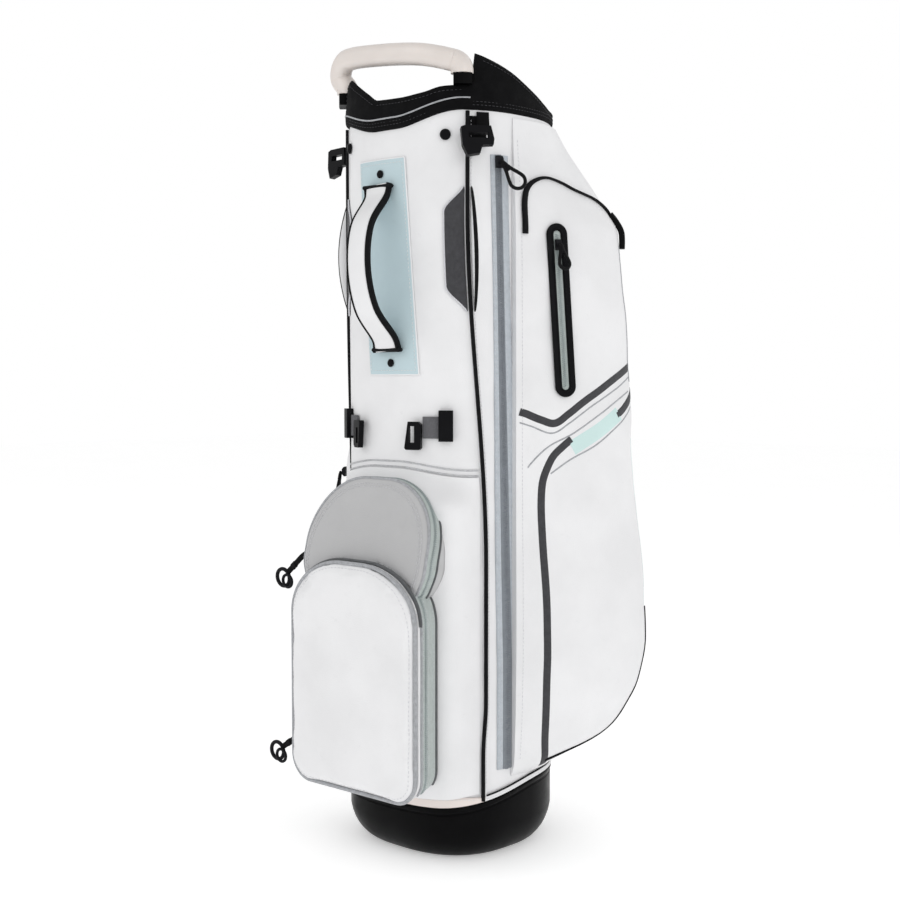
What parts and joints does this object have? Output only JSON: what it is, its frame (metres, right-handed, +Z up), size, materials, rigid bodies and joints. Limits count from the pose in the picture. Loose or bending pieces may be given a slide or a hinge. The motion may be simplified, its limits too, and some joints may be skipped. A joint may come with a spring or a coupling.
{
  "type": "golf bag",
  "caption": "Upright golf bag with a moulded base and top handle, a divided mouth, padded collar, zipped front and side pockets, grab handle and strap clips.",
  "frame": {"origin": "middle of the moulded base's flat underside", "axes": "+Z up along the tube; -Y is the front, with the grab handle and the ball pocket; +X is the side with the large pocket"},
  "size_m": [0.3477, 0.3101, 0.9161],
  "materials": {
    "moulded_black": "moulded black plastic, fine texture",
    "foam": "closed-cell foam",
    "white_leather": "white coated leather-like fabric, fine grain",
    "cream_leather": "cream coated fabric",
    "fibreglass": "pultruded rod",
    "lining": "brushed divider lining",
    "black_fabric": "black woven webbing and padded knit",
    "white_plastic": "satin white moulding",
    "charcoal_fabric": "charcoal woven fabric",
    "pale_blue": "pale blue coated panel",
    "grey_leather": "pale grey coated fabric",
    "zip_tape": "blue-grey zip tape",
    "zip_metal": "black painted die casting",
    "cord_black": "black rubbered cord"
  },
  "bodies": {
    "bag": {"base_boot": "moulded_black", "base_pad": "foam", "body_shell": "white_leather", "hem_band": "cream_leather", "stay_left": "fibreglass", "stay_right": "fibreglass", "stay_back": "fibreglass", "divider_top": "moulded_black", "divider_sheet_cross": "lining", "divider_sheet_front": "lining", "divider_sheet_rear_left": "lining", "divider_sheet_rear_right": "lining", "collar": "black_fabric", "top_handle": "white_plastic", "handle_mount_right": "moulded_black", "handle_mount_left": "moulded_black", "corner_piping_right": "black_fabric", "grip_patch_right": "charcoal_fabric", "side_grip_right": "white_leather", "hood_snap_right": "moulded_black", "corner_piping_left": "black_fabric", "grip_patch_left": "charcoal_fabric", "side_grip_left": "white_leather", "hood_snap_left": "moulded_black", "handle_panel": "pale_blue", "grab_handle": "white_leather", "handle_rivet_upper": "moulded_black", "handle_rivet_lower": "moulded_black", "upper_clip_web_right": "black_fabric", "lower_clip_anchor_right": "moulded_black", "lower_clip_web_right": "black_fabric", "upper_clip_web_left": "black_fabric", "lower_clip_anchor_left": "moulded_black", "lower_clip_web_left": "black_fabric", "front_lower_panel": "white_leather", "ball_pocket_gusset": "white_leather", "valuables_pocket": "grey_leather", "side_pocket": "white_leather", "left_pocket": "white_leather", "side_zip_tape": "zip_tape", "storm_zip_frame": "moulded_black", "pocket_arch_trim": "black_fabric", "pocket_tab": "black_fabric", "back_pad": "charcoal_fabric"},
    "side_zip_slider": {"side_zip_slider": "zip_metal"},
    "side_zip_puller": {"side_zip_puller": "cord_black"},
    "storm_zip_slider": {"storm_zip_slider": "zip_metal"},
    "storm_zip_puller": {"storm_zip_puller": "cord_black"},
    "left_zip_slider": {"left_zip_slider": "zip_metal"},
    "left_zip_puller": {"left_zip_puller": "cord_black"},
    "ball_zip_slider": {"ball_zip_slider": "zip_metal"},
    "ball_zip_puller": {"ball_zip_puller": "cord_black"},
    "valuables_zip_slider": {"valuables_zip_slider": "zip_metal"},
    "valuables_zip_puller": {"valuables_zip_puller": "cord_black"},
    "ball_pocket_flap": {"ball_pocket_flap": "white_leather"},
    "upper_buckle_right": {"upper_clip_buckle_right": "moulded_black"},
    "lower_buckle_right": {"lower_clip_buckle_right": "moulded_black"},
    "upper_buckle_left": {"upper_clip_buckle_left": "moulded_black"},
    "lower_buckle_left": {"lower_clip_buckle_left": "moulded_black"}
  },
  "joints": [
    {"name": "side_zip_run", "type": "slide", "parent": "bag", "child": "side_zip_slider", "axis": [-0.006, -0.0277, 0.9996], "range_m": [-0.55, 0]},
    {"name": "side_zip_puller_hinge", "type": "hinge", "parent": "side_zip_slider", "child": "side_zip_puller", "pos_m": [0.11641, -0.05402, 0.77395], "axis": [-0.3437, -0.7324, -0.5878], "range_deg": [0, 100]},
    {"name": "storm_zip_run", "type": "slide", "parent": "bag", "child": "storm_zip_slider", "axis": [-0.0534, -0.033, 0.998], "range_m": [-0.13, 0.01]},
    {"name": "storm_zip_puller_hinge", "type": "hinge", "parent": "storm_zip_slider", "child": "storm_zip_puller", "pos_m": [0.15341, 0.00352, 0.68641], "axis": [-0.4421, -0.897, 0], "range_deg": [0, 100]},
    {"name": "left_zip_run", "type": "slide", "parent": "bag", "child": "left_zip_slider", "axis": [0, 0, 1], "range_m": [-0.22, 0]},
    {"name": "left_zip_puller_hinge", "type": "hinge", "parent": "left_zip_slider", "child": "left_zip_puller", "pos_m": [-0.13711, -0.05332, 0.426], "axis": [-0.5043, 0.8635, 0], "range_deg": [0, 100]},
    {"name": "ball_zip_run", "type": "slide", "parent": "bag", "child": "ball_zip_slider", "axis": [0, 0, 1], "range_m": [0, 0.14]},
    {"name": "ball_zip_puller_hinge", "type": "hinge", "parent": "ball_zip_slider", "child": "ball_zip_puller", "pos_m": [-0.10244, -0.14998, 0.128], "axis": [0.3599, 0.933, 0], "range_deg": [-45, 60]},
    {"name": "valuables_zip_run", "type": "slide", "parent": "bag", "child": "valuables_zip_slider", "axis": [0, 0, 1], "range_m": [0, 0.03]},
    {"name": "valuables_zip_puller_hinge", "type": "hinge", "parent": "valuables_zip_slider", "child": "valuables_zip_puller", "pos_m": [-0.10018, -0.14299, 0.34], "axis": [0.1701, 0.9854, 0], "range_deg": [-45, 60]},
    {"name": "ball_pocket_open", "type": "hinge", "parent": "bag", "child": "ball_pocket_flap", "pos_m": [0, -0.1662, 0.0815], "axis": [1, 0, 0], "range_deg": [0, 75]},
    {"name": "upper_buckle_right_swing", "type": "hinge", "parent": "bag", "child": "upper_buckle_right", "pos_m": [0.10543, -0.08237, 0.807], "axis": [-0.6157, -0.788, 0], "range_deg": [-12, 70]},
    {"name": "lower_buckle_right_swing", "type": "hinge", "parent": "bag", "child": "lower_buckle_right", "pos_m": [0.05094, -0.11178, 0.476], "axis": [0, 0, 1], "range_deg": [0, 80]},
    {"name": "upper_buckle_left_swing", "type": "hinge", "parent": "bag", "child": "upper_buckle_left", "pos_m": [-0.11763, -0.07208, 0.807], "axis": [-0.9833, 0.1822, 0], "range_deg": [-4, 52]},
    {"name": "lower_buckle_left_swing", "type": "hinge", "parent": "bag", "child": "lower_buckle_left", "pos_m": [-0.05094, -0.11178, 0.476], "axis": [0, 0, -1], "range_deg": [0, 80]}
  ]
}
